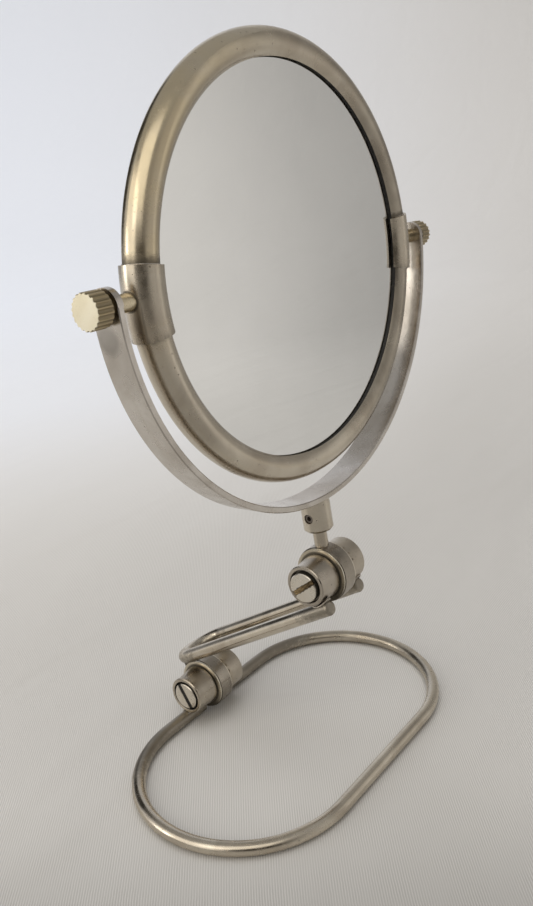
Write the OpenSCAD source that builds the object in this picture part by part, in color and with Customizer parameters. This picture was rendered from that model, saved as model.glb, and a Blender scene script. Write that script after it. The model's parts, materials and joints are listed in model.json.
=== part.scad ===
// Folding shaving mirror. A round two-faced glass in a tube ring turns in a half-round yoke,
// the yoke swivels on a post, and two friction hinges join the post, a hairpin arm and a wire base.
// X runs along every hinge axis, the front glass looks towards -Y, and Z is up.
// The origin is under the middle of the whole mirror, on the surface it stands on.

/* [Base loop] */
// Diameter of the base rod
rod_d = 6.1; // [5.5:0.1:6.5]
// Length of the loop, along the rod's centre line
loop_l = 166.8; // [150:1:190]
// Width of the loop, along the rod's centre line
loop_w = 98.2; // [90:1:110]
// How far the rod's centre line lies behind the base hinge
stub_back = 1.2; // [0:0.1:1.8]

/* [Hinges] */
// Diameter of the turning knuckles
knuckle_d = 24.8; // [24:0.1:26]
// Length of a knuckle
knuckle_l = 7.6; // [7:0.1:9]
// Diameter of the fixed barrels beside the knuckle
barrel_d = 19.6; // [19:0.1:20]
// Diameter of the front barrel's rim
rim_d = 18.2; // [17.6:0.1:18.6]
// Distance from the hinge's middle to each end
hinge_half = 15.9; // [15:0.1:18]
// Diameter of the hinge screw's shank
screw_d = 6; // [5:0.1:6.4]
// Diameter of the hinge screw's head
head_d = 13; // [12:0.1:13.4]
// How far the base hinge lies to the left of the mirror's middle
base_hinge_left = 6.4; // [0:0.1:8]
// How far the screw head stands out of the base hinge's rim
base_head_proud = 0.5; // [0.2:0.1:1]
// How far the screw head stands out of the elbow hinge's rim
elbow_head_proud = 1.6; // [1:0.1:2.6]

/* [Arm] */
// Diameter of the arm's rod
arm_rod_d = 6.6; // [6:0.1:6.8]
// Distance between the centre lines of the arm's two legs
arm_gap = 24; // [23.6:0.1:25]
// Distance between the two hinge axes, measured along the legs
arm_len = 98.9; // [90:0.5:120]
// Slope of the arm above the surface
arm_slope = 30.3; // [20:0.5:45]

/* [Post and yoke] */
// Diameter of the post
post_d = 6; // [5:0.1:6]
// Backward lean of the post
post_lean = 7; // [0:0.5:8]
// How far the yoke stands forward of the post's line, as an angle
yoke_set = 3.4; // [0:0.1:4]
// How far the socket sits behind the middle of the yoke's strip
socket_back = 1.8; // [0:0.1:2]
// Distance from the elbow hinge's axis to the underside of the yoke
yoke_height = 34.4; // [33:0.1:40]
// Inner radius of the yoke
yoke_r = 94.1; // [93:0.1:98]
// Thickness of the yoke's strip
strip_t = 2.5; // [2:0.1:3]
// Width of the yoke's strip
strip_w = 12.4; // [11:0.1:12.6]
// Outside diameter of the socket under the yoke
socket_d = 12.7; // [11:0.1:13]
// Length of the socket
socket_l = 14.8; // [14:0.1:16]

/* [Ring and glass] */
// Radius of the ring, to the middle of its tube
ring_r = 79.2; // [79:0.1:80]
// Diameter of the ring's tube
tube_d = 12; // [12:0.1:12.2]
// Wall of the ring's tube
tube_wall = 1; // [0.8:0.1:1]
// Width of the slit on the tube's inner side
slit_w = 7.2; // [7:0.1:7.6]
// Thickness of each glass
glass_t = 2; // [1.8:0.1:2]
// Diameter of each glass
glass_d = 165; // [160:0.5:165]
// Length of each collar, along the ring
collar_l = 23.2; // [20:0.1:26]
// How far each collar's middle lies below its pivot, along the ring
collar_drop = 1.1; // [0:0.1:2]
// Wall of each collar
collar_t = 1.3; // [0.8:0.1:1.5]

/* [Pivots and knobs] */
// Diameter of the pivot stud between collar and yoke
stud_d = 6.1; // [5.8:0.1:7]
// Diameter of each knob
knob_d = 12.1; // [11:0.1:14]
// Length of each knob, with its boss
knob_l = 7.5; // [7:0.1:10]
// Number of flutes around a knob
flutes = 20; // [16:1:22]

/* [Hidden] */
$fn = 96;
run = 0.05;             // radial clearance of a running fit
gap = 0.05;             // end clearance between faces that slide on each other
braze = 0.2;            // depth that a brazed rod sinks into its seat
washer_t = 0.75;        // brass friction washer
head_t = 4;             // screw head
head_room = 0.9;        // radial room around a screw head
stub_gap = 0.3;         // how far a rod's end stays behind its barrel's end
leg_over = 2.8;         // how far the rear leg passes the elbow axis
front_leg_more = 1;     // how much farther the front leg reaches
bend_back = 8.2;        // how far the hairpin's bend passes behind the base axis
arm_mid = 0.4;          // middle of the hairpin, in X
pin_r = 2.5;            // journal that the yoke turns on
thread_r = 2;           // threaded end inside the knob
groove_h = 4.4;         // groove in the post for the grub screw's tip
groove_t = 0.6;
grub_r = 2.1;

rod_r = rod_d / 2;
arm_r = arm_rod_d / 2;
knuckle_r = knuckle_d / 2;
barrel_r = barrel_d / 2;
rim_r = rim_d / 2;
screw_r = screw_d / 2;
post_r = post_d / 2;
tube_r = tube_d / 2;
collar_r = tube_r + collar_t;
knob_r = knob_d / 2;
bend_r = arm_gap / 2;

hinge_z = rod_d + rim_r;                             // base hinge axis above the surface
arm_lift = knuckle_r + arm_r - braze;                // legs above the base axis
head_lift = barrel_r + arm_r - 2 * braze;            // elbow axis above the legs
y_back = arm_lift * sin(arm_slope) + bend_back * cos(arm_slope) + arm_r;
y_front = stub_back - loop_w - rod_r;
hinge_y = -(y_back + y_front) / 2;                   // puts the origin under the middle
mid_back = (knuckle_l + washer_t + 3 * gap) / 2;     // knuckle and washer fill the middle
mid_front = -mid_back;
knuckle_x = mid_back - gap - knuckle_l;
yoke_out = yoke_r + strip_t;
ring_up = yoke_height + yoke_out * cos(yoke_set);    // ring's centre seen from the elbow axis
socket_z = yoke_height - socket_l;
grub_z = yoke_height - 0.55 * socket_l;
stack_t = 2 * glass_t + 0.8;                         // both glasses and the card between them
stud_in = ring_r + tube_r + gap;
stud_out = yoke_r - 0.1;
knob_in = yoke_out + 0.2;
knob_out = knob_in + knob_l;
collar_a = collar_l / ring_r * 180 / PI;             // collar's arc, in degrees
drop_a = collar_drop / ring_r * 180 / PI;
post_root = 6.5;                                     // post's foot and top, along the post
post_top = yoke_height - 2.2;

// ---- places ----

// The base hinge's axis, with X along it
module at_base_hinge() {
    translate([-base_hinge_left, hinge_y, hinge_z]) children();
}

// The arm: -Y runs along the legs, and Z stands square to them
module at_arm() {
    translate([0, hinge_y, hinge_z]) rotate([-arm_slope, 0, 0]) children();
}

// The elbow hinge's axis, in the arm's own directions
module at_elbow() {
    at_arm() translate([0, -arm_len, arm_lift + head_lift]) children();
}

// The post: Z runs up the post from the elbow axis
module at_post() {
    at_elbow() rotate([arm_slope - post_lean, 0, 0]) children();
}

// The ring's centre, with X along the pivots and Z in the yoke's plane
module at_ring() {
    at_post() translate([0, 0, yoke_height]) rotate([yoke_set, 0, 0])
        translate([0, -socket_back, yoke_out]) children();
}

// ---- shapes that repeat ----

// A turned piece along X, from its profile of [radius, x] points
module turned(points) {
    rotate([0, 90, 0]) rotate_extrude() polygon(points);
}

// A plain round bar along X
module bar(r, x0, x1) {
    translate([x0, 0, 0]) rotate([0, 90, 0]) cylinder(r = r, h = x1 - x0);
}

// Tapered front barrel with a beaded rim, a counterbore for the head and a clear hole
module front_barrel(proud) {
    x0 = -hinge_half;
    bead = 1.2;
    floor_x = x0 + head_t - proud;
    turned([[screw_r + 2 * run, mid_front], [barrel_r - 0.4, mid_front],
        [barrel_r, mid_front - 0.4], [barrel_r - 0.1, mid_front - 1.2],
        [rim_r - 0.35, x0 + bead + 0.4], [rim_r, x0 + bead], [rim_r, x0 + 0.4],
        [rim_r - 0.4, x0], [head_d / 2 + head_room + 0.2, x0],
        [head_d / 2 + head_room, x0 + 0.2], [head_d / 2 + head_room, floor_x],
        [screw_r + 2 * run, floor_x]]);
}

// Rear barrel with a tapped hole, a seat for the spring washer and a row of punch marks
module rear_barrel(mark_l, mark_x) {
    x0 = mid_back;
    x1 = hinge_half;
    seat_r = 7;
    seat_l = 1.1;
    tap_end = x1 - 2.2;
    difference() {
        turned([[0, x1], [0, tap_end], [screw_r, tap_end], [screw_r, x0 + seat_l],
            [seat_r, x0 + seat_l], [seat_r, x0], [barrel_r - 0.3, x0],
            [barrel_r, x0 + 0.3], [barrel_r, x1 - 0.6], [barrel_r - 0.6, x1]]);
        for (a = [-18, 0, 18])
            rotate([a + 45, 0, 0]) translate([mark_x, 0, barrel_r])
                cube([0.7, mark_l, 0.8], center = true);
    }
}

// Slotted screw: head towards -X, shank through the knuckle into the rear barrel
module hinge_screw(proud, slot_turn) {
    face = -hinge_half - proud;
    slot_w = 2.2;
    difference() {
        turned([[0, face], [head_d / 2 - 0.3, face], [head_d / 2, face + 0.3],
            [head_d / 2, face + head_t], [screw_r, face + head_t],
            [screw_r, hinge_half - 2.3], [0, hinge_half - 2.3]]);
        rotate([slot_turn, 0, 0]) translate([face, 0, 0])
            cube([2.4, slot_w, head_d + 2], center = true);
    }
}

// Thin brass washer, as wide as the knuckle, in front of it
module brass_washer() {
    x1 = knuckle_x - gap;
    r = knuckle_r - braze - 0.1;
    turned([[screw_r + 2 * run, x1 - washer_t], [r - 0.1, x1 - washer_t],
        [r, x1 - washer_t + 0.1], [r, x1], [screw_r + 2 * run, x1]]);
}

// Coned spring washer in the rear barrel's seat
module spring_washer() {
    x0 = mid_back - 0.03;
    turned([[screw_r + 0.2, x0 + 0.5], [6.4, x0], [6.4, x0 + 0.5], [screw_r + 0.2, x0 + 1]]);
}

// Knuckle with a bore that runs on the screw
module knuckle() {
    x0 = knuckle_x;
    x1 = knuckle_x + knuckle_l;
    e = 0.25;
    turned([[screw_r + run, x0], [knuckle_r - e, x0], [knuckle_r, x0 + e],
        [knuckle_r, x1 - e], [knuckle_r - e, x1], [screw_r + run, x1]]);
}

// One leg of the arm along -Y, with a rounded end past the elbow axis
module leg(x, over) {
    far = arm_len + over;
    near = bend_r - bend_back;
    e = 1.2;
    translate([x, 0, arm_lift]) rotate([90, 0, 0]) rotate_extrude()
        polygon([[0, near], [arm_r, near], [arm_r, far - e], [arm_r - 0.4, far - 0.35],
            [arm_r - 1.1, far], [0, far]]);
}

// The whole hairpin rod, in the arm's own directions
module hairpin_rod() {
    translate([arm_mid, 0, 0]) {
        leg(-bend_r, leg_over + front_leg_more);
        leg(bend_r, leg_over);
        translate([0, bend_back - bend_r, arm_lift]) rotate_extrude(angle = 180)
            translate([bend_r, 0]) circle(arm_r);
    }
}

// The base rod: two long sides with half-round ends, open where the hinge sits
module loop_rod() {
    half = (loop_l - loop_w) / 2;
    end_r = loop_w / 2;
    left = mid_front - base_hinge_left - stub_gap;
    right = mid_back - base_hinge_left + stub_gap;
    translate([0, hinge_y + stub_back, rod_r]) {
        bar(rod_r, -half, left);
        bar(rod_r, right, half);
        translate([0, -loop_w, 0]) bar(rod_r, -half, half);
        for (s = [-1, 1]) translate([s * half, -end_r, 0]) rotate([0, 0, -90 * s])
            rotate_extrude(angle = s * 180) translate([s * end_r, 0]) circle(rod_r);
    }
}

// Section of a split tube around the ring's own axis
module ring_section(outer, inner) {
    translate([ring_r, 0]) difference() {
        circle(outer);
        circle(inner);
        translate([-2 * outer, -slit_w / 2]) square([2 * outer, slit_w]);
    }
}

// Half of the ring's tube, above or below the pivots
module half_ring(up) {
    rotate([up ? 90 : -90, 0, 0]) rotate_extrude(angle = 180)
        ring_section(tube_r, tube_r - tube_wall);
}

// Collar over a joint of the two halves, bored for the pivot stud
module collar() {
    difference() {
        rotate([90, collar_a / 2 + drop_a, 0]) rotate_extrude(angle = collar_a)
            ring_section(collar_r, tube_r);
        bar(stud_d / 2, ring_r, ring_r + 2 * collar_r);
    }
}

// Pivot stud: spacer, journal for the yoke and thread for the knob
module stud() {
    e = 0.3;
    turned([[0, stud_in], [stud_d / 2, stud_in], [stud_d / 2, stud_out - e],
        [stud_d / 2 - e, stud_out], [pin_r, stud_out], [pin_r, yoke_out + 0.15],
        [thread_r, yoke_out + 0.15], [thread_r, knob_out - 1.6], [0, knob_out - 1.6]]);
}

// Knob: small boss and a grip with flutes from back to face
module knob() {
    boss_l = 1;
    boss_r = 3.8;
    flute_r = 0.8;
    x1 = knob_in + boss_l;
    intersection() {
        turned([[thread_r + run, knob_in], [boss_r, knob_in], [boss_r, x1], [knob_r - 0.3, x1],
            [knob_r, x1 + 0.3], [knob_r, knob_out - 0.15], [knob_r - 0.15, knob_out],
            [0, knob_out], [0, knob_out - 1.2], [thread_r + run, knob_out - 1.2]]);
        translate([knob_in - 1, 0, 0]) rotate([90, 0, 90]) linear_extrude(knob_l + 2)
            difference() {
                circle(knob_r + 0.1);
                for (i = [0:flutes - 1]) rotate(i * 360 / flutes)
                    translate([knob_r + 0.3, 0]) circle(flute_r, $fn = 24);
            }
    }
}

// A round sheet across Y, from y0 to y1
module sheet(r, y0, y1) {
    translate([0, y1, 0]) rotate([90, 0, 0]) cylinder(r = r, h = y1 - y0);
}

// ---- base ----

module base_loop() { color("#a79f92") loop_rod(); }

module base_front_barrel() {
    color("#aca497") difference() {
        at_base_hinge() front_barrel(base_head_proud);
        loop_rod();
    }
}

module base_rear_barrel() {
    color("#aca497") difference() {
        at_base_hinge() rear_barrel(1.6, 6.6);
        loop_rod();
    }
}

module base_hinge_screw() {
    color("#b8b2a6") at_base_hinge() hinge_screw(base_head_proud, -31);
}

module base_brass_washer() { color("#b59a62") at_base_hinge() brass_washer(); }

module base_spring_washer() { color("#8f8b84") at_base_hinge() spring_washer(); }

// ---- arm ----

module arm_hairpin() { color("#a1998b") at_arm() hairpin_rod(); }

// Brazed saddle that fills the wedge between the bend and the knuckle
module saddle() {
    web = 4.4;
    foot = 9;
    intersection() {
        translate([arm_mid, bend_back - bend_r, foot]) rotate_extrude(angle = 180)
            translate([bend_r - web / 2, 0]) square([web, arm_lift - foot - 2]);
        translate([knuckle_x + 0.1 - base_hinge_left, 0, 0])
            cube([knuckle_l - 0.2, knuckle_r, arm_lift]);
    }
}

module arm_knuckle() {
    color("#8d867b") difference() {
        union() {
            at_base_hinge() knuckle();
            at_arm() saddle();
        }
        at_arm() hairpin_rod();
    }
}

module elbow_front_barrel() {
    color("#aca497") difference() {
        at_elbow() front_barrel(elbow_head_proud);
        at_arm() hairpin_rod();
    }
}

module elbow_rear_barrel() {
    color("#aca497") difference() {
        at_elbow() rotate([arm_slope, 0, 0]) rear_barrel(0.7, 7.8);
        at_arm() hairpin_rod();
    }
}

module elbow_hinge_screw() {
    color("#b8b2a6") at_elbow() hinge_screw(elbow_head_proud, 82);
}

module elbow_brass_washer() { color("#b59a62") at_elbow() brass_washer(); }

module elbow_spring_washer() { color("#8f8b84") at_elbow() spring_washer(); }

// ---- post ----

module post_knuckle() {
    color("#9c958a") difference() {
        at_post() knuckle();
        at_post() translate([0, 0, post_root]) cylinder(r = post_r, h = knuckle_r);
    }
}

module post() {
    g0 = grub_z - groove_h / 2;
    g1 = grub_z + groove_h / 2;
    color("#aca497") at_post() rotate_extrude()
        polygon([[0, post_root], [post_r, post_root], [post_r, g0], [post_r - groove_t, g0],
            [post_r - groove_t, g1], [post_r, g1], [post_r, post_top - 0.5],
            [post_r - 0.5, post_top], [0, post_top]]);
}

// ---- yoke ----

module yoke_strip() {
    w = strip_w / 2;
    e = 0.35;
    color("#aaa296") at_ring() difference() {
        union() {
            rotate([-90, 0, 0]) rotate_extrude(angle = 180)
                polygon([[yoke_r, e - w], [yoke_r + e, -w], [yoke_out - e, -w],
                    [yoke_out, e - w], [yoke_out, w - e], [yoke_out - e, w],
                    [yoke_r + e, w], [yoke_r, w - e]]);
            for (s = [-1, 1]) translate([s > 0 ? yoke_r : -yoke_out, 0, 0])
                rotate([90, 0, 90]) linear_extrude(strip_t) intersection() {
                    circle(w);
                    translate([-w, 0]) square([2 * w, w]);
                }
        }
        bar(pin_r + run, -yoke_out - 1, yoke_out + 1);
    }
}

module yoke_socket() {
    color("#b0a89b") at_post() difference() {
        translate([0, 0, socket_z]) rotate_extrude() polygon([[post_r + run, 0],
            [socket_d / 2 - 1, 0], [socket_d / 2, 1], [socket_d / 2, socket_l + 1],
            [0, socket_l + 1], [0, socket_l - 1.8], [post_r + run, socket_l - 1.8]]);
        translate([0, 0, yoke_height]) rotate([yoke_set, 0, 0])
            translate([0, 0, yoke_out]) sheet(yoke_out, -socket_d, socket_d);
        translate([0, 0, grub_z]) bar(grub_r, -socket_d, 0);
    }
}

module socket_grub_screw() {
    tip = -(post_r - groove_t) - run;
    face = -socket_d / 2 + 0.7;
    hex = 2.2;
    color("#55504a") at_post() translate([0, 0, grub_z]) difference() {
        turned([[0, face], [grub_r - 0.3, face], [grub_r, face + 0.3], [grub_r, tip - 0.7],
            [grub_r - 0.7, tip], [0, tip]]);
        translate([face - 1, 0, 0]) rotate([0, 90, 0])
            cylinder(d = hex, h = 2.6, $fn = 6);
    }
}

// ---- ring and glass ----

module ring_upper_half() { color("#a89d86") at_ring() half_ring(true); }

module ring_lower_half() { color("#a1988a") at_ring() half_ring(false); }

module ring_left_collar() { color("#9d9488") at_ring() rotate([0, 0, 180]) collar(); }

module ring_right_collar() { color("#9d9488") at_ring() collar(); }

module left_pivot_stud() { color("#c9b98b") at_ring() rotate([0, 0, 180]) stud(); }

module right_pivot_stud() { color("#c9b98b") at_ring() stud(); }

module front_glass() {
    color("#c9cbc8") at_ring() sheet(glass_d / 2, -stack_t / 2, glass_t - stack_t / 2);
}

module back_glass() {
    color("#c9cbc8") at_ring() sheet(glass_d / 2, stack_t / 2 - glass_t, stack_t / 2);
}

module backing_card() {
    half = stack_t / 2 - glass_t - gap;
    color("#6b5a45") at_ring() sheet(glass_d / 2 - 0.5, -half, half);
}

module gasket() {
    inner = ring_r - sqrt(pow(tube_r, 2) - pow(slit_w / 2, 2)) + 0.7;
    difference() {
        sheet(ring_r + 0.8, -slit_w / 2 + gap, -stack_t / 2);
        sheet(inner, -slit_w, 0);
    }
}

module front_gasket() { color("#1c1a18") at_ring() gasket(); }

module back_gasket() { color("#1c1a18") at_ring() rotate([0, 0, 180]) gasket(); }

module left_knob() { color("#d8cba0") at_ring() rotate([0, 0, 180]) knob(); }

module right_knob() { color("#d8cba0") at_ring() knob(); }

base_loop();
base_front_barrel();
base_rear_barrel();
base_hinge_screw();
base_brass_washer();
base_spring_washer();
arm_hairpin();
arm_knuckle();
elbow_front_barrel();
elbow_rear_barrel();
elbow_hinge_screw();
elbow_brass_washer();
elbow_spring_washer();
post_knuckle();
post();
yoke_strip();
yoke_socket();
socket_grub_screw();
ring_upper_half();
ring_lower_half();
ring_left_collar();
ring_right_collar();
left_pivot_stud();
right_pivot_stud();
front_glass();
back_glass();
backing_card();
front_gasket();
back_gasket();
left_knob();
right_knob();
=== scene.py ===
"""Looks of the folding shaving mirror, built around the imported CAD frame."""

import json
import math

import bmesh
import bpy
from mathutils import Matrix, Vector, noise


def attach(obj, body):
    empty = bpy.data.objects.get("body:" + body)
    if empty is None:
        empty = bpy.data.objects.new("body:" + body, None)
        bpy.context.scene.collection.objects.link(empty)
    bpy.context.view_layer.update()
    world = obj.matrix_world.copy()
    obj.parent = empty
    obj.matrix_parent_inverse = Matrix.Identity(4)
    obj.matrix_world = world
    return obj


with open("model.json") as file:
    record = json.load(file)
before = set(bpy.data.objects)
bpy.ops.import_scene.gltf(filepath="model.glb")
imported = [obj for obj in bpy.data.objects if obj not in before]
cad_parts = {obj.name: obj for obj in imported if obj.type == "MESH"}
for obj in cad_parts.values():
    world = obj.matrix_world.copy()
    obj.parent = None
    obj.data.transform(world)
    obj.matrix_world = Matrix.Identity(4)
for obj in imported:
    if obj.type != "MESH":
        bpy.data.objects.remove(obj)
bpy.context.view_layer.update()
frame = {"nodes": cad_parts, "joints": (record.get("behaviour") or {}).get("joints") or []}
nodes = frame["nodes"]

# ---------------------------------------------------------------- places

MM = 0.001
JOINT = {j["name"]: Vector(j["pos_m"]) for j in frame["joints"]}
BASE_AXIS = JOINT["base_hinge"]
ELBOW = JOINT["elbow_hinge"]
RING = JOINT["mirror_tilt"]

RING_LEAN = 3.6  # backward lean of the ring's plane at rest, in degrees
POST_LEAN = 7.0  # backward lean of the post, in degrees
ARM_SLOPE = 30.3  # rise of the arm at rest, in degrees
ARC_R = 0.079  # turns an angle round the ring into metres along its tube

# Along the X axis of both hinges, in millimetres from the hinge's middle
BASE_FACE, ELBOW_FACE = -16.4, -17.5  # faces of the two screw heads
BARREL_END, WASHER_END, KNUCKLE_END = -4.25, -3.43, 4.22  # joints, from front to rear
BASE_SLOT_TURN = -31.0  # how far the slot is turned from upright, in degrees
ELBOW_SLOT_TURN = 82.0  # the same from the arm's own upright


# ---------------------------------------------------------------- node helpers


class Graph:
    """A material's node tree, with short calls for the nodes that repeat."""

    def __init__(self, name):
        self.mat = bpy.data.materials.new(name)
        self.mat.use_nodes = True
        self.tree = self.mat.node_tree
        self.bsdf = self.tree.nodes["Principled BSDF"]

    def node(self, kind, **values):
        n = self.tree.nodes.new(kind)
        for k, v in values.items():
            setattr(n, k, v)
        return n

    def link(self, a, b):
        self.tree.links.new(a, b)

    def put(self, socket, value):
        if isinstance(value, bpy.types.NodeSocket):
            self.link(value, socket)
        else:
            socket.default_value = value

    def coords(self):
        return self.node("ShaderNodeTexCoord").outputs["Object"]

    def split(self, vector):
        n = self.node("ShaderNodeSeparateXYZ")
        self.link(vector, n.inputs[0])
        return n.outputs["X"], n.outputs["Y"], n.outputs["Z"]

    def join(self, x, y, z):
        n = self.node("ShaderNodeCombineXYZ")
        for socket, value in zip(n.inputs, (x, y, z)):
            self.link(value, socket)
        return n.outputs[0]

    def math(self, op, a, b=0.0, c=None, clamp=False):
        n = self.node("ShaderNodeMath", operation=op, use_clamp=clamp)
        self.put(n.inputs[0], a)
        self.put(n.inputs[1], b)
        if c is not None:
            self.put(n.inputs[2], c)
        return n.outputs[0]

    def times(self, a, b):
        return self.math("MULTIPLY", a, b)

    def most(self, first, *others):
        for other in others:
            first = self.math("MAXIMUM", first, other)
        return first

    def length(self, a, b):
        return self.math("SQRT", self.math("MULTIPLY_ADD", a, a, self.times(b, b)))

    def mapping(self, vector, scale=(1, 1, 1), location=(0, 0, 0), rotation=(0, 0, 0)):
        n = self.node("ShaderNodeMapping")
        self.link(vector, n.inputs["Vector"])
        n.inputs["Scale"].default_value = scale
        n.inputs["Location"].default_value = location
        n.inputs["Rotation"].default_value = rotation
        return n.outputs[0]

    def noise(self, vector, scale, detail=3.0, rough=0.5, distortion=0.0):
        n = self.node("ShaderNodeTexNoise")
        self.link(vector, n.inputs["Vector"])
        n.inputs["Scale"].default_value = scale
        n.inputs["Detail"].default_value = detail
        n.inputs["Roughness"].default_value = rough
        n.inputs["Distortion"].default_value = distortion
        return n.outputs["Fac"]

    def voronoi(self, vector, scale):
        n = self.node("ShaderNodeTexVoronoi")
        self.link(vector, n.inputs["Vector"])
        n.inputs["Scale"].default_value = scale
        return n.outputs["Distance"]

    def ramp(self, value, low, high, out_low=0.0, out_high=1.0):
        n = self.node("ShaderNodeMapRange", interpolation_type="SMOOTHSTEP")
        self.link(value, n.inputs["Value"])
        ends = zip(("From Min", "From Max", "To Min", "To Max"), (low, high, out_low, out_high))
        for socket, end in ends:
            n.inputs[socket].default_value = end
        return n.outputs["Result"]

    def mix(self, fac, a, b):
        n = self.node("ShaderNodeMix", data_type="RGBA")
        self.put(n.inputs[0], fac)
        for socket, value in ((n.inputs[6], a), (n.inputs[7], b)):
            self.put(socket, (*value, 1.0) if isinstance(value, tuple) else value)
        return n.outputs[2]

    def bump(self, height, strength, distance, normal=None):
        n = self.node("ShaderNodeBump")
        n.inputs["Strength"].default_value = strength
        n.inputs["Distance"].default_value = distance
        self.link(height, n.inputs["Height"])
        if normal is not None:
            self.link(normal, n.inputs["Normal"])
        return n.outputs[0]


def from_point(g, centre):
    """(x, y, z) in millimetres from a point given in metres."""
    away = tuple(-c / MM for c in centre)
    return g.split(g.mapping(g.coords(), scale=(1 / MM,) * 3, location=away))


def hinge_place(g, centre):
    """(distance along X, distance from the axis, height) in millimetres, seen from a hinge."""
    x, y, z = from_point(g, centre)
    return x, g.length(y, z), z


def ring_run(g):
    """Coordinates (along the arc, across, outwards) round the ring's axis, in metres."""
    moved = g.mapping(g.coords(), location=tuple(-c for c in RING))
    x, y, z = g.split(g.mapping(moved, rotation=(math.radians(RING_LEAN), 0, 0)))
    return g.join(g.times(g.math("ARCTAN2", z, x), ARC_R), y, g.length(x, z))


def from_pivots(g):
    """Distance along the tube from the nearer of the two pivots, in metres."""
    along = g.math("ABSOLUTE", g.split(ring_run(g))[0])
    return g.math("MINIMUM", along, g.math("SUBTRACT", math.pi * ARC_R, along))


# ---------------------------------------------------------------- dirt, tarnish, painted shade and highlights

# A mask is 0 where the metal keeps its colour, and 1 under full dirt or full painted shade.
# Lengths are in millimetres where a mask starts from hinge_place or from_point, else in metres.


def seam(g, x, joint, width, depth):
    """Dirt beside a joint. width says how far off it ends, and how far off it is full."""
    return g.ramp(g.math("ABSOLUTE", g.math("SUBTRACT", x, joint)), *width, 0.0, depth)


def head_stains_and_shade(centre, face, slot_turn, spread):
    """Painted shade on everything of a screw head but its face, and ragged stains beside the slot.
    """
    turn = math.radians(slot_turn)

    def mask(g):
        x, y, z = from_point(g, centre)
        across = g.math("MULTIPLY_ADD", y, math.cos(turn), g.times(z, math.sin(turn)))
        lumps = g.math("SUBTRACT", g.noise(g.coords(), 700.0, 3.0, 0.6), 0.5)
        off = g.math("MULTIPLY_ADD", lumps, -spread, g.math("ABSOLUTE", across))
        beside_slot = g.ramp(off, 1.3, 1.1, 0.0, 0.85)
        # Painted shade on the head's side and in its slot, behind the face
        shade_behind_face = g.ramp(x, face + 0.2, face + 0.5, 0.0, 0.95)
        return g.most(beside_slot, shade_behind_face)

    return mask


def barrel_shade_and_dirt(centre, depth):
    """Painted shade inside a front barrel's counterbore, painted shade and soiling underneath it,
    and soiling in its joint.
    """

    def mask(g):
        x, r, z = hinge_place(g, centre)
        # Painted shade in the counterbore, and partly painted shade below the barrel
        inside = g.ramp(r, 7.62, 7.44, 0.0, depth)
        below = g.ramp(z, -3.0, -8.0, 0.0, 0.7)
        under = g.times(below, g.ramp(x, BARREL_END - 5.0, BARREL_END))
        return g.most(under, inside, seam(g, x, BARREL_END, (0.6, 0.12), 0.9))

    return mask


def turning_grime(centre, joint):
    """Dirt along the joint of a knuckle or a rear barrel."""
    return lambda g: seam(g, hinge_place(g, centre)[0], joint, (0.4, 0.1), 0.8)


def washer_painted_shade(centre):
    """Painted shade on a washer's face, most of it below, with the rim left unpainted."""

    def mask(g):
        r, z = hinge_place(g, centre)[1:]
        return g.most(g.ramp(r, 11.3, 10.4, 0.0, 0.92), g.ramp(z, -2.0, -9.0, 0.0, 0.9))

    return mask


def knob_side(g):
    """All of a knob but its face."""
    return g.ramp(g.math("ABSOLUTE", hinge_place(g, RING)[0]), 104.2, 103.9)


def knob_flute_darkening(g):
    """Darker colour at the bottom of a knob's flutes and behind its grip."""
    valleys = g.ramp(hinge_place(g, RING)[1], 6.0, 5.6, 0.05, 0.5)
    return g.times(knob_side(g), valleys)


def patchy_shade_towards_x(g, near, far, depth):
    """Thin patchy painted shade that deepens towards +X."""
    x = g.split(g.coords())[0]
    patchy = g.ramp(g.noise(g.coords(), 80.0, 4.0, 0.6), 0.3, 0.7, 0.6, 1.0)
    return g.times(g.ramp(x, near, far, 0.0, depth), patchy)


def knob_shadow_on_strip(g):
    """Painted shadow of the left knob: a soft dark patch on the yoke below it."""
    x, y, z = from_point(g, RING)
    away = g.length(g.math("SUBTRACT", y, 0.8), g.math("ADD", z, 10.5))
    left_arm = g.ramp(x, -80.0, -90.0)
    return g.times(left_arm, g.ramp(away, 6.5, 3.0, 0.0, 0.45))


def stain(g, far):
    """Speckled scorching on a rod, up to far millimetres from its brazed joints."""
    reach = g.math("MINIMUM", hinge_place(g, ELBOW)[1], hinge_place(g, BASE_AXIS)[1])
    ragged = g.math("MULTIPLY_ADD", g.noise(g.coords(), 420.0, 4.0, 0.7), 16.0, reach)
    return g.ramp(ragged, far, far - 9.0, 0.0, 0.62)


def ring_stains_and_shade(g):
    """Flux and solder stains on the tube beside the collars, and painted shade to the right."""
    lumps = g.noise(g.coords(), 500.0, 3.0, 0.6)
    ragged = g.math("MULTIPLY_ADD", lumps, 0.003, from_pivots(g))
    return g.most(g.ramp(ragged, 0.0160, 0.0128, 0.0, 0.8), patchy_shade_towards_x(g, 0.0, 0.06, 0.42))


def collar_flux_and_shade(g):
    """Streaks on a collar, darker ends, and painted shade in a dark ring round the stud."""
    streak = g.noise(g.mapping(ring_run(g), scale=(40.0, 700.0, 700.0)), 1.0, 2.0, 0.5)
    near_ends = g.ramp(from_pivots(g), 0.0098, 0.0127)
    ends = g.times(near_ends, g.ramp(streak, 0.35, 0.65, 0.05, 0.4))
    # Painted shade where the stud enters the collar
    seat = g.ramp(hinge_place(g, RING)[1], 4.0, 3.3, 0.0, 0.85)
    return g.most(seat, ends, g.ramp(streak, 0.58, 0.72, 0.0, 0.3))


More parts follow.
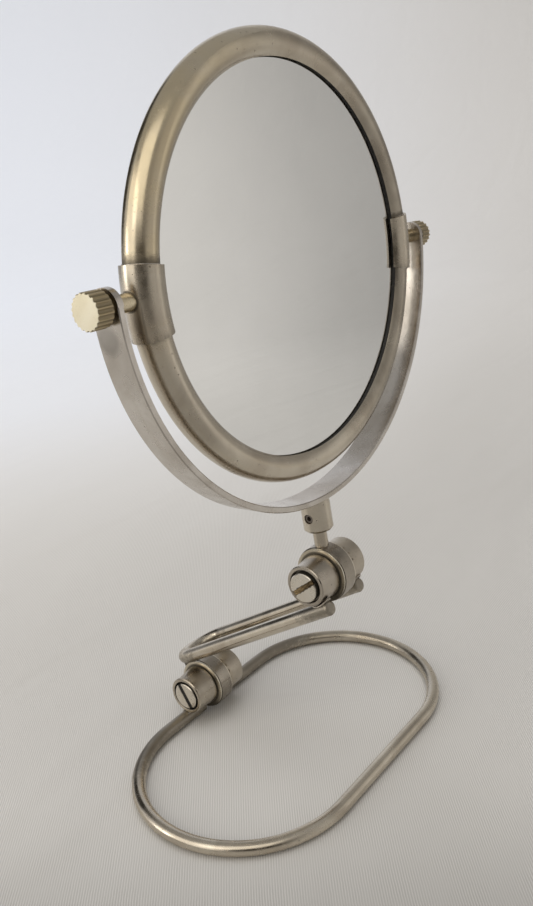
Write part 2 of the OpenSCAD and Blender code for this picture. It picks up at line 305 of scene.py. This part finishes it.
def ring_painted_glow(g):
    """Painted golden highlight on the outer side of the ring's upper left."""
    x, _, z = g.split(g.coords())
    outwards = g.split(ring_run(g))[2]
    left = g.ramp(x, 0.02, -0.07)
    outer = g.ramp(outwards, 0.0755, 0.0785, 0.15, 1.0)
    upper = g.ramp(z, 0.19, 0.24)
    patchy = g.ramp(g.noise(g.coords(), 60.0, 3.0, 0.5), 0.25, 0.6, 0.5, 1.0)
    return g.times(g.times(g.times(left, outer), upper), patchy)


# ---------------------------------------------------------------- materials

GOLD = (0.66, 0.56, 0.385)
NICKEL_DARK = (0.50, 0.44, 0.355)
NICKEL = {"light": (0.66, 0.60, 0.50), "dark": NICKEL_DARK, "tint": GOLD}
TURNED = {"light": (0.60, 0.545, 0.46), "dark": (0.42, 0.37, 0.30), "tint": GOLD}
# A darker copy of TURNED for the elbow's front barrel: painted shade
TURNED_SHADED = {"light": (0.52, 0.47, 0.40), "dark": (0.34, 0.30, 0.25), "tint": GOLD}
KNUCKLE = {"light": (0.46, 0.415, 0.35), "dark": (0.26, 0.23, 0.19), "tint": (0.86, 0.80, 0.68)}
HEAD = {"light": (0.76, 0.71, 0.63), "dark": NICKEL["light"], "tint": GOLD}
STRIP = {"light": (0.69, 0.65, 0.60), "dark": (0.53, 0.485, 0.43), "tint": (0.60, 0.55, 0.46)}
COLLAR = {"light": (0.62, 0.56, 0.46), "dark": (0.46, 0.40, 0.32), "tint": GOLD}
BRASS = {"light": (0.78, 0.69, 0.51), "dark": (0.62, 0.53, 0.36), "tint": (0.70, 0.58, 0.38)}
WASHER = {"light": (0.68, 0.63, 0.52), "dark": (0.52, 0.46, 0.36), "tint": (0.56, 0.49, 0.35)}
KNOB = {"light": (0.86, 0.82, 0.68), "dark": (0.74, 0.67, 0.49), "tint": (0.50, 0.41, 0.26)}
STEEL = {"light": (0.26, 0.23, 0.20), "dark": (0.12, 0.10, 0.09), "tint": (0.20, 0.17, 0.12)}
SOLDER = {"light": (0.62, 0.58, 0.52), "dark": (0.36, 0.32, 0.27), "tint": GOLD}
FLUX = {"light": (0.42, 0.31, 0.17), "dark": (0.08, 0.055, 0.03), "tint": (0.22, 0.16, 0.08)}

# Scales of the brushed lines along the three coordinates: small along a line, large across it
ALONG_X = (60.0, 2600.0, 2600.0)
ALONG_Y = (2600.0, 90.0, 2600.0)
ALONG_Z = (240.0, 240.0, 2600.0)
ROUND_X = (2600.0, 240.0, 240.0)
ALONG_ARC = (60.0, 2600.0, 2600.0)
ACROSS_ARC = (2600.0, 120.0, 120.0)
NO_LINES = (900.0, 900.0, 900.0)

# Scales of the metal's other patterns
CLOUD, WARP, GLOSS, SPOT, SPECK = 45.0, 90.0, 120.0, 330.0, 1300.0


def metal(
    name, colours, rough, brush, speck=0.5, coords=Graph.coords, seed=0.0, dirt_and_shade_mask=None, painted_tint=None
):
    """Worn plated metal: cloudy colour, tarnish specks, fine brushed lines and uneven gloss.
    rough is the range of the gloss, brush the scale of the lines along coords, and speck the
    strength of the specks. The last two build masks: one that darkens with soiling and painted
    shade, and one for the tint, which paints highlights on some parts and shade on others."""
    g = Graph(name)
    light, dark, tint = colours["light"], colours["dark"], colours["tint"]
    run = coords(g)
    shifted = g.mapping(g.coords(), location=(seed, seed * 0.7, -seed))
    clouds = g.noise(shifted, CLOUD, 4.0, 0.55, 0.6)
    streaks = g.noise(g.mapping(run, scale=tuple(k * 0.12 for k in brush)), 1.0, 3.0, 0.6)
    specks = g.noise(shifted, SPECK, 2.0, 0.65)
    spots = g.voronoi(shifted, SPOT)

    colour = g.mix(g.ramp(clouds, 0.3, 0.7), dark, light)
    # The tint mask paints highlights on some parts and shade on others
    if painted_tint:
        colour = g.mix(painted_tint(g), colour, tint)
    streak_colour = tuple(0.5 * (a + b) for a, b in zip(dark, tint))
    colour = g.mix(g.ramp(streaks, 0.5, 0.75, 0.0, 0.35), colour, streak_colour)
    in_dull_parts = g.ramp(clouds, 0.40, 0.62, 1.0, 0.2)
    soiled = g.times(g.ramp(specks, 0.64, 0.76, 0.0, speck), in_dull_parts)
    in_bright_parts = g.ramp(clouds, 0.52, 0.6)
    pits = g.times(g.ramp(spots, 0.16, 0.05, 0.0, speck), in_bright_parts)
    soil_and_shade = g.most(soiled, pits)
    # Dirt and painted shade darken the colour and dull the gloss
    if dirt_and_shade_mask:
        soil_and_shade = g.most(soil_and_shade, dirt_and_shade_mask(g))
    colour = g.mix(soil_and_shade, colour, tuple(c * 0.22 for c in dark))
    g.link(colour, g.bsdf.inputs["Base Color"])
    g.bsdf.inputs["Metallic"].default_value = 1.0

    gloss = g.ramp(g.noise(shifted, GLOSS, 4.0, 0.6), 0.3, 0.7, *rough)
    soiled_gloss = g.math("ADD", gloss, g.times(soil_and_shade, 0.25), clamp=True)
    g.link(soiled_gloss, g.bsdf.inputs["Roughness"])
    lines = g.noise(g.mapping(run, scale=brush), 1.0, 2.0, 0.6)
    fine = g.bump(lines, 0.10, 0.00006)
    worn = g.bump(g.noise(shifted, WARP, 2.0, 0.5), 0.05, 0.0006, fine)
    g.link(worn, g.bsdf.inputs["Normal"])
    return g.mat


def turned_metal(name, colours, seed, dirt_and_shade_mask, rough=(0.22, 0.36), speck=0.45, painted_tint=None):
    """Metal of a piece turned round a hinge's axis."""
    return metal(name, colours, rough, ROUND_X, speck, seed=seed, dirt_and_shade_mask=dirt_and_shade_mask, painted_tint=painted_tint)


def knuckle_edge_highlight(centre):
    """A painted highlight along the rear edge of a knuckle, in the tint."""
    return lambda g: g.ramp(hinge_place(g, centre)[0], 3.6, 3.85)


# Scorching near the brazed joints, and patchy painted shade towards +X
def rod_stain_and_shade(g):
    return g.most(stain(g, 28.0), patchy_shade_towards_x(g, 0.0, 0.08, 0.22))


def arm_grime(g):
    return stain(g, 30.0)


def mirror_glass():
    """Silvered glass with a faint haze."""
    g = Graph("mirror_glass")
    haze = g.noise(g.coords(), 22.0, 3.0, 0.5)
    colour = g.mix(g.ramp(haze, 0.3, 0.7), (0.86, 0.865, 0.85), (0.90, 0.905, 0.89))
    g.link(colour, g.bsdf.inputs["Base Color"])
    g.bsdf.inputs["Metallic"].default_value = 1.0
    g.link(g.ramp(haze, 0.35, 0.75, 0.012, 0.03), g.bsdf.inputs["Roughness"])
    g.bsdf.inputs["Coat Weight"].default_value = 0.3
    g.bsdf.inputs["Coat Roughness"].default_value = 0.01
    return g.mat


def dull(name, light, dark, scale, rough):
    """Grainy matt material of two close colours."""
    g = Graph(name)
    grain = g.noise(g.coords(), scale, 4.0, 0.6)
    g.link(g.mix(g.ramp(grain, 0.35, 0.65), light, dark), g.bsdf.inputs["Base Color"])
    g.bsdf.inputs["Roughness"].default_value = rough
    g.link(g.bump(grain, 0.2, 0.0002), g.bsdf.inputs["Normal"])
    return g.mat


m_rod = metal("nickel_rod", NICKEL, (0.16, 0.30), ALONG_X, seed=0.3, dirt_and_shade_mask=rod_stain_and_shade)
m_arm = metal("nickel_arm", NICKEL, (0.12, 0.24), ALONG_Y, 0.45, seed=1.3, dirt_and_shade_mask=arm_grime)
m_post = metal("nickel_post", NICKEL, (0.16, 0.28), ALONG_Z, 0.4, seed=5.1)
m_socket = metal("nickel_socket", NICKEL, (0.18, 0.30), ALONG_Z, 0.4, seed=5.9)
m_ring = metal(
    "nickel_ring", NICKEL, (0.15, 0.28), ALONG_ARC, 0.5, ring_run, 6.4, ring_stains_and_shade, ring_painted_glow
)
m_strip = metal(
    "nickel_strip", STRIP, (0.18, 0.30), ALONG_ARC, 0.35, ring_run, 7.7, knob_shadow_on_strip
)
m_collar = metal(
    "nickel_collar", COLLAR, (0.20, 0.34), ACROSS_ARC, 0.6, ring_run, 8.8, collar_flux_and_shade
)
m_brass = metal("pale_brass", BRASS, (0.22, 0.36), ROUND_X, 0.35, seed=9.1)
# Each knob's sides, all of it but the face, take a darker tint than the face: painted shade
m_knob = metal(
    "knob_brass", KNOB, (0.24, 0.38), ROUND_X, 0.3, seed=10.4, dirt_and_shade_mask=knob_flute_darkening, painted_tint=knob_side
)
m_steel = metal("dark_steel", STEEL, (0.34, 0.5), ROUND_X, seed=11.6)
m_solder = metal("solder", SOLDER, (0.22, 0.42), NO_LINES, 0.8, seed=12.7)
m_flux = metal("slot_dirt", FLUX, (0.4, 0.6), NO_LINES, 1.0, seed=13.3)
m_glass = mirror_glass()
# Black gaskets under the lips: partly a real gasket, partly painted shade in the gap by the glass
m_gasket_gap_shade = dull("black_gasket_gap_shade", (0.02, 0.02, 0.02), (0.035, 0.032, 0.03), 500.0, 0.6)
m_slot_shade = dull("slot_painted_shade", (0.007, 0.006, 0.005), (0.018, 0.015, 0.012), 900.0, 0.8)
m_card = dull("brown_card", (0.34, 0.27, 0.19), (0.26, 0.20, 0.14), 300.0, 0.9)

DRESS = {
    "base_loop": m_rod,
    "base_front_barrel": turned_metal(
        "base_front_metal", TURNED, 2.1, barrel_shade_and_dirt(BASE_AXIS, 0.9)
    ),
    "base_hinge_screw": turned_metal(
        "base_head_metal", HEAD, 4.2, head_stains_and_shade(BASE_AXIS, BASE_FACE, BASE_SLOT_TURN, 0.8)
    ),
    "base_spring_washer": m_steel,
    "arm_hairpin": m_arm,
    "elbow_front_barrel": turned_metal(
        "elbow_front_metal", TURNED_SHADED, 2.9, barrel_shade_and_dirt(ELBOW, 0.5)
    ),
    "elbow_hinge_screw": turned_metal(
        "elbow_head_metal",
        HEAD,
        4.8,
        head_stains_and_shade(ELBOW, ELBOW_FACE, ELBOW_SLOT_TURN - ARM_SLOPE, 2.4),
    ),
    "elbow_spring_washer": m_steel,
    "post": m_post,
    "yoke_strip": m_strip,
    "yoke_socket": m_socket,
    "socket_grub_screw": m_steel,
    "ring_upper_half": m_ring,
    "ring_lower_half": m_ring,
    "ring_left_collar": m_collar,
    "ring_right_collar": m_collar,
    "left_pivot_stud": m_brass,
    "right_pivot_stud": m_brass,
    "front_glass": m_glass,
    "back_glass": m_glass,
    "backing_card": m_card,
    "front_gasket": m_gasket_gap_shade,
    "back_gasket": m_gasket_gap_shade,
    "left_knob": m_knob,
    "right_knob": m_knob,
}
for hinge, knuckle, centre, rear_seed, knuckle_seed, washer_seed in (
    ("base", "arm_knuckle", BASE_AXIS, 3.7, 3.3, 9.6),
    ("elbow", "post_knuckle", ELBOW, 4.1, 3.9, 9.9),
):
    DRESS[f"{hinge}_rear_barrel"] = turned_metal(
        f"{hinge}_rear_metal",
        TURNED,
        rear_seed,
        turning_grime(centre, KNUCKLE_END),
        rough=(0.32, 0.46),
        speck=0.8,
    )
    DRESS[knuckle] = turned_metal(
        f"{hinge}_knuckle_metal",
        KNUCKLE,
        knuckle_seed,
        turning_grime(centre, WASHER_END),
        speck=0.7,
        painted_tint=knuckle_edge_highlight(centre),
    )
    DRESS[f"{hinge}_brass_washer"] = metal(
        f"{hinge}_washer_brass",
        WASHER,
        (0.22, 0.34),
        ROUND_X,
        seed=washer_seed,
        dirt_and_shade_mask=washer_painted_shade(centre),
    )

for name, mat in DRESS.items():
    data = nodes[name].data
    data.materials.clear()
    data.materials.append(mat)

# ---------------------------------------------------------------- small pieces


def mesh_object(name, bm, mat, smooth=True):
    """A linked object from a bmesh, which is freed."""
    mesh = bpy.data.meshes.new(name)
    bm.to_mesh(mesh)
    bm.free()
    mesh.polygons.foreach_set("use_smooth", [smooth] * len(mesh.polygons))
    mesh.materials.append(mat)
    o = bpy.data.objects.new(name, mesh)
    bpy.context.scene.collection.objects.link(o)
    return o


def finish_piece(name, bm, mat, body):
    bmesh.ops.recalc_face_normals(bm, faces=bm.faces)
    o = mesh_object(name, bm, mat)
    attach(o, body)
    return o


BEAD_SIDES = 10
BEAD_WAVE, BEAD_LUMP = 700, 1500  # scales of its unevenness along it and round it
ASIDE = Vector((0.31, 0.53, 0.79))  # a direction that no bead runs along


def bead(name, path, radius, body, closed=False, rough=0.3, seed=0.0):
    """Uneven bead of solder or braze that follows a path of points in metres."""
    radius *= MM
    bm = bmesh.new()
    rings = []
    n = len(path)
    for i, p in enumerate(path):
        before = path[i - 1] if i or closed else p
        after = path[(i + 1) % n] if i < n - 1 or closed else p
        t = (after - before).normalized()
        a = (ASIDE - t * t.dot(ASIDE)).normalized()
        b = t.cross(a)
        wave = noise.noise(p * BEAD_WAVE + Vector((seed, 0, 0)))
        ends = 1.0 if closed else min(1.0, 0.35 + 0.65 * min(i, n - 1 - i) / 3)
        ring = []
        for k in range(BEAD_SIDES):
            w = 2 * math.pi * k / BEAD_SIDES
            d = a * math.cos(w) + b * math.sin(w)
            lump = noise.noise(p * BEAD_LUMP + d * 1.7 + Vector((0, seed, 0)))
            swell = 1 + rough * wave + rough * 0.6 * lump
            ring.append(bm.verts.new(p + d * radius * ends * swell))
        rings.append(ring)
    following = rings[1:] + rings[:1] if closed else rings[1:]
    for r0, r1 in zip(rings, following):
        for k in range(BEAD_SIDES):
            j = (k + 1) % BEAD_SIDES
            bm.faces.new((r0[k], r0[j], r1[j], r1[k]))
    if not closed:
        bm.faces.new(rings[0])
        bm.faces.new(rings[-1])
    return finish_piece(name, bm, m_solder, body)


def frame_of(origin, lean):
    """Maps local millimetres to the world: a turn about X by lean degrees, then the origin."""
    turn = Matrix.Rotation(math.radians(lean), 4, "X")
    return lambda x, y, z: origin + turn @ (Vector((x, y, z)) * MM)


base_at = frame_of(BASE_AXIS, 0)
arm_elbow_at = frame_of(ELBOW, -ARM_SLOPE)
post_at = frame_of(ELBOW, -POST_LEAN)
ring_at = frame_of(RING, -RING_LEAN)

# Braze along both sides of the line where the base rod lies under each base barrel
ROD_Y = 1.2  # the rod's middle line, behind the hinge's axis
for side, x0, x1, height in (("front", -16.1, -4.9, -9.35), ("rear", 4.9, 15.6, -9.75)):
    for k, off in enumerate((-1.75, 1.9)):
        z = height - 0.12 * abs(off)
        line = [base_at(x0 + (x1 - x0) * i / 22, ROD_Y + off, z) for i in range(23)]
        bead(f"base_{side}_braze_{k}", line, 0.55, "base", rough=0.35, seed=2.0 * k + x0)

# Braze around the crossing of each leg and its barrel
LEG_R, LEG_Z, BARREL_R = 3.3, -12.7, 9.8
for side, leg_x in (("front", -11.6), ("rear", 12.4)):
    loop = []
    for i in range(36):
        w = 2 * math.pi * i / 36
        u, v = 2.5 * math.cos(w), 4.7 * math.sin(w)
        z_leg = LEG_Z + math.sqrt(LEG_R**2 - u * u)
        z_barrel = -math.sqrt(BARREL_R**2 - v * v)
        loop.append(arm_elbow_at(leg_x + u, v, (z_leg + z_barrel) / 2))
    bead(f"elbow_{side}_braze", loop, 0.55, "arm", closed=True, seed=leg_x)

# Solder line round the front of the socket, under the yoke, which slopes and curves
SOCKET_R, SOCKET_TOP, YOKE_SLOPE, YOKE_CURVE = 6.42, 34.3, math.tan(math.radians(3.4)), 1 / 193
line = []
for i in range(41):
    w = math.radians(142 + 256 * i / 40)
    x, y = SOCKET_R * math.cos(w), SOCKET_R * math.sin(w)
    line.append(post_at(x, y, SOCKET_TOP + y * YOKE_SLOPE + x * x * YOKE_CURVE))
bead("socket_solder", line, 0.34, "yoke", rough=0.4, seed=4.4)

# Solder in the corner at both ends of each collar, but not on the side of the glass
TUBE_MID_R, TUBE_R = 79.2, 6.12
for side, s in (("left", -1), ("right", 1)):
    for end, along in (("upper", 10.65), ("lower", -12.85)):
        a = along / TUBE_MID_R
        line = []
        for i in range(31):
            w = math.radians(-128 + 256 * i / 30)
            r = TUBE_MID_R + TUBE_R * math.cos(w)
            line.append(ring_at(s * r * math.cos(a), TUBE_R * math.sin(w), r * math.sin(a)))
        bead(f"{side}_collar_{end}_solder", line, 0.26, "ring", rough=0.5, seed=along * s)


def slot_fill(name, at, face, turn, depth, lump, mat, body):
    """A rough filling in a screw's slot: floor, sides and an uneven top. In the elbow screw it is
    packed soiling; in the base screw it is a black filler that paints the slot's shade. depth is
    how far the top lies under the head's face, and lump how uneven it is, in millimetres."""
    long, wide, floor = 12.3, 2.06, 1.15
    nu, nv = 48, 10
    turn = math.radians(turn)
    bm = bmesh.new()
    top, low = [], []
    for i in range(nu + 1):
        u = long * (i / nu - 0.5)
        row, base = [], []
        for j in range(nv + 1):
            v = wide * (j / nv - 0.5)
            y = -u * math.sin(turn) + v * math.cos(turn)
            z = u * math.cos(turn) + v * math.sin(turn)
            h = depth + lump * noise.noise(Vector((u * 0.9, v * 1.6, 3.1)))
            row.append(bm.verts.new(at(face + h, y, z)))
            base.append(bm.verts.new(at(face + floor, y, z)))
        top.append(row)
        low.append(base)
    for i in range(nu):
        for j in range(nv):
            bm.faces.new((top[i][j], top[i + 1][j], top[i + 1][j + 1], top[i][j + 1]))
            bm.faces.new((low[i][j], low[i][j + 1], low[i + 1][j + 1], low[i + 1][j]))
        for j in (0, nv):
            bm.faces.new((top[i][j], low[i][j], low[i + 1][j], top[i + 1][j]))
    for i in (0, nu):
        for j in range(nv):
            bm.faces.new((top[i][j], top[i][j + 1], low[i][j + 1], low[i][j]))
    return finish_piece(name, bm, mat, body)


slot_fill(
    "elbow_slot_dirt", arm_elbow_at, ELBOW_FACE, ELBOW_SLOT_TURN, 0.22, 0.55, m_flux, "arm"
)
# Black filler in the base screw's slot: painted shade
slot_fill("base_slot_shade", base_at, BASE_FACE, BASE_SLOT_TURN, 0.16, 0.08, m_slot_shade, "base")

# ---------------------------------------------------------------- stage and light

FLOOR_R = 1.5
BEND_R = 0.9
WALL_TOP = 2.4
TURNS, BENDS = 96, 16

# The cloth glows a little, more in some directions. A yaw is in degrees from +Y towards +X, and
# a start is the cosine at which the effect begins.
EVEN_GLOW = 0.176  # far away, all round
HIGH_GLOW = -0.05  # high on the wall
COOL_YAW, COOL_START, COOL_GLOW = 15.0, 0.45, 0.24  # daylight behind the object
SIDE_YAW, SIDE_START, SIDE_GLOW = 150.0, 0.75, 0.10  # to the right of the camera
# SHADE and NEAR paint shade onto the cloth: on part of the wall, and on the floor near the camera
SHADE_YAW, SHADE_START, SHADE_DEPTH = 108.0, 0.88, 0.38  # a darker part of the wall
NEAR_X, NEAR_Y = -0.8, -0.6  # direction of the darker floor near the camera
NEAR_START, NEAR_END, NEAR_DEPTH = 0.04, 0.17, 0.40


def cloth():
    """Pale woven cloth. Daylight through it makes the far parts glow, cool behind the object.
    Painted shade darkens part of the wall and the floor near the camera.
    """
    g = Graph("pale_cloth")
    at = g.coords()
    x, y, z = g.split(at)
    r = g.length(x, y)
    safe_r = g.math("MAXIMUM", r, 0.02)

    def along(ux, uy):
        return g.math("MULTIPLY_ADD", x, ux, g.times(y, uy))

    def towards(yaw, start):
        dot = along(math.sin(math.radians(yaw)), math.cos(math.radians(yaw)))
        return g.ramp(g.math("DIVIDE", dot, safe_r), start, 1.0)

    far = g.ramp(r, 0.1, 1.5)
    cool = g.times(towards(COOL_YAW, COOL_START), g.ramp(r, 0.08, 0.7))
    side = g.times(towards(SIDE_YAW, SIDE_START), far)
    shade = g.times(towards(SHADE_YAW, SHADE_START), g.times(far, SHADE_DEPTH))
    glow = g.times(far, EVEN_GLOW)
    for part, strength in ((cool, COOL_GLOW), (side, SIDE_GLOW), (g.ramp(z, 0.1, 1.0), HIGH_GLOW)):
        glow = g.math("MULTIPLY_ADD", part, strength, glow)
    glow = g.times(glow, g.math("SUBTRACT", 1.0, shade))

    threads = g.node("ShaderNodeTexWave", bands_direction="X")
    g.link(g.mapping(at, rotation=(0, 0, math.radians(50))), threads.inputs["Vector"])
    threads.inputs["Scale"].default_value = 310.0
    threads.inputs["Distortion"].default_value = 1.2
    threads.inputs["Detail"].default_value = 2.0
    threads.inputs["Detail Scale"].default_value = 0.6
    patches = g.ramp(g.noise(at, 60.0, 3.0, 0.6), 0.3, 0.7, 0.35, 1.0)
    patches = g.times(patches, g.ramp(r, 0.48, 0.15))
    ribs = g.math("SUBTRACT", threads.outputs["Fac"], 0.5)
    weave = g.math("MULTIPLY_ADD", ribs, patches, 0.5)

    clouds = g.noise(at, 1.6, 2.0, 0.5)
    colour = g.mix(g.ramp(clouds, 0.3, 0.7), (0.65, 0.637, 0.615), (0.68, 0.667, 0.645))
    colour = g.mix(g.ramp(weave, 0.0, 1.0, 0.75, 0.0), colour, (0.47, 0.455, 0.43))
    # Painted shade on part of the wall and on the floor near the camera
    near_floor_shade = g.ramp(along(NEAR_X, NEAR_Y), NEAR_START, NEAR_END, 0.0, NEAR_DEPTH)
    colour = g.mix(g.most(shade, near_floor_shade), colour, (0.0, 0.0, 0.0))
    g.link(colour, g.bsdf.inputs["Base Color"])
    g.bsdf.inputs["Roughness"].default_value = 0.95
    g.bsdf.inputs["Specular IOR Level"].default_value = 0.1
    glow_colour = g.mix(cool, (1.0, 0.97, 0.945), (0.85, 0.93, 1.10))
    g.link(glow_colour, g.bsdf.inputs["Emission Color"])
    g.link(glow, g.bsdf.inputs["Emission Strength"])

    drawn = g.mapping(at, scale=(4.0, 14.0, 8.0), rotation=(0, 0, -0.7))
    folds = g.bump(g.noise(drawn, 1.0, 2.0, 0.5, 0.4), 0.5, 0.012)
    g.link(g.bump(weave, 0.25, 0.0003, folds), g.bsdf.inputs["Normal"])
    return g.mat


def sweep():
    """Round pale studio sweep: a flat floor that curves up into a wall all round."""
    profile = [(0.3, 0.0), (0.8, 0.0), (FLOOR_R, 0.0)]
    for i in range(1, BENDS + 1):
        a = math.pi / 2 * i / BENDS
        profile.append((FLOOR_R + BEND_R * math.sin(a), BEND_R * (1 - math.cos(a))))
    profile.append((FLOOR_R + BEND_R, WALL_TOP))
    spokes = [2 * math.pi * i / TURNS for i in range(TURNS)]
    bm = bmesh.new()
    middle = bm.verts.new((0, 0, 0))
    rows = []
    for r, z in profile:
        rows.append([bm.verts.new((r * math.cos(w), r * math.sin(w), z)) for w in spokes])
    for i in range(TURNS):
        j = (i + 1) % TURNS
        bm.faces.new((middle, rows[0][i], rows[0][j]))
        for a, b in zip(rows, rows[1:]):
            bm.faces.new((a[i], b[i], b[j], a[j]))
    mesh_object("studio_floor", bm, cloth())


def aim(o, place, target):
    """Puts an object at a place, with its -Z side towards the target."""
    o.location = place
    o.rotation_mode = "QUATERNION"
    o.rotation_quaternion = (Vector(target) - Vector(place)).to_track_quat("-Z", "Y")
    o.visible_camera = False


def area(name, place, size, power, colour):
    """Soft rectangular light towards the middle of the object."""
    data = bpy.data.lights.new(name, "AREA")
    data.shape = "RECTANGLE"
    data.size, data.size_y = size
    data.energy = power
    data.color = colour
    o = bpy.data.objects.new(name, data)
    bpy.context.scene.collection.objects.link(o)
    aim(o, place, MIDDLE)
    return o


def card(name, place, target, size, shade, soft):
    """A flat dark card with soft edges that only the reflections see."""
    bm = bmesh.new()
    w, h = size[0] / 2, size[1] / 2
    bm.faces.new([bm.verts.new(p) for p in ((-w, -h, 0), (w, -h, 0), (w, h, 0), (-w, h, 0))])
    g = Graph(name)
    g.bsdf.inputs["Base Color"].default_value = (*shade, 1.0)
    g.bsdf.inputs["Roughness"].default_value = 1.0
    g.bsdf.inputs["Specular IOR Level"].default_value = 0.0
    x, y, _ = g.split(g.coords())
    across = g.ramp(g.math("ABSOLUTE", x), w, w * (1 - soft))
    up = g.ramp(g.math("ABSOLUTE", y), h, h * (1 - soft))
    blend = g.node("ShaderNodeMixShader")
    g.link(g.times(across, up), blend.inputs[0])
    g.link(g.node("ShaderNodeBsdfTransparent").outputs[0], blend.inputs[1])
    g.link(g.bsdf.outputs[0], blend.inputs[2])
    g.link(blend.outputs[0], g.tree.nodes["Material Output"].inputs["Surface"])
    o = mesh_object(name, bm, g.mat, smooth=False)
    aim(o, place, target)
    o.visible_shadow = False
    o.visible_diffuse = False


MIDDLE = (0.0, -0.01, 0.16)  # of the object

sweep()
area("window_left", (-1.05, 0.95, 0.36), (0.42, 0.5), 1.7, (1.0, 0.97, 0.92))
area("wall_left", (-1.55, 0.50, 0.90), (2.0, 1.3), 8.0, (1.0, 0.95, 0.87))
area("wall_upper", (-1.24, -0.52, 1.62), (2.1, 1.5), 8.8, (1.0, 0.95, 0.86))
sky = area("sky_top", (0.2, 0.2, 1.9), (1.6, 1.6), 13.5, (0.99, 0.985, 0.99))
sky.visible_glossy = False
card("dark_room", (-0.75, -0.75, 0.31), MIDDLE, (1.7, 0.95), (0.07, 0.06, 0.05), 0.8)
card(
    "dark_corner", (0.07, 1.3, 0.80), (0.0, 0.0, 0.80), (1.5, 1.8), (0.04, 0.039, 0.037), 0.55
)

world = bpy.data.worlds.new("studio")
bpy.context.scene.world = world
world.use_nodes = True
back = world.node_tree.nodes["Background"]
back.inputs["Color"].default_value = (0.94, 0.925, 0.90, 1.0)
back.inputs["Strength"].default_value = 0.39

# ---------------------------------------------------------------- camera

CAMERA_AT = (-0.278961, -0.228470, 0.263963)
YAW, PITCH, ROLL = math.radians(53.8483), math.radians(18.5675), math.radians(-3.539)
FOCAL_PX, FRAME_H = 884.115, 906.0  # focal length and the image's height, in pixels
SENSOR = 36.0
SHIFT = (-0.0454, -0.0134)


def camera():
    data = bpy.data.cameras.new("camera")
    data.sensor_width = SENSOR
    data.lens = FOCAL_PX * SENSOR / FRAME_H
    data.shift_x, data.shift_y = SHIFT
    data.clip_start = 0.01
    data.clip_end = 20.0
    o = bpy.data.objects.new("camera", data)
    bpy.context.scene.collection.objects.link(o)
    level = math.cos(PITCH)
    ahead = Vector((math.sin(YAW) * level, math.cos(YAW) * level, -math.sin(PITCH)))
    right = ahead.cross(Vector((0, 0, 1))).normalized()
    up = right.cross(ahead)
    rolled_right = math.cos(ROLL) * right + math.sin(ROLL) * up
    rolled_up = -math.sin(ROLL) * right + math.cos(ROLL) * up
    m = Matrix((rolled_right, rolled_up, -ahead)).transposed().to_4x4()
    m.translation = Vector(CAMERA_AT)
    o.matrix_world = m
    bpy.context.scene.camera = o


camera()
bpy.context.scene.view_settings.view_transform = "Standard"
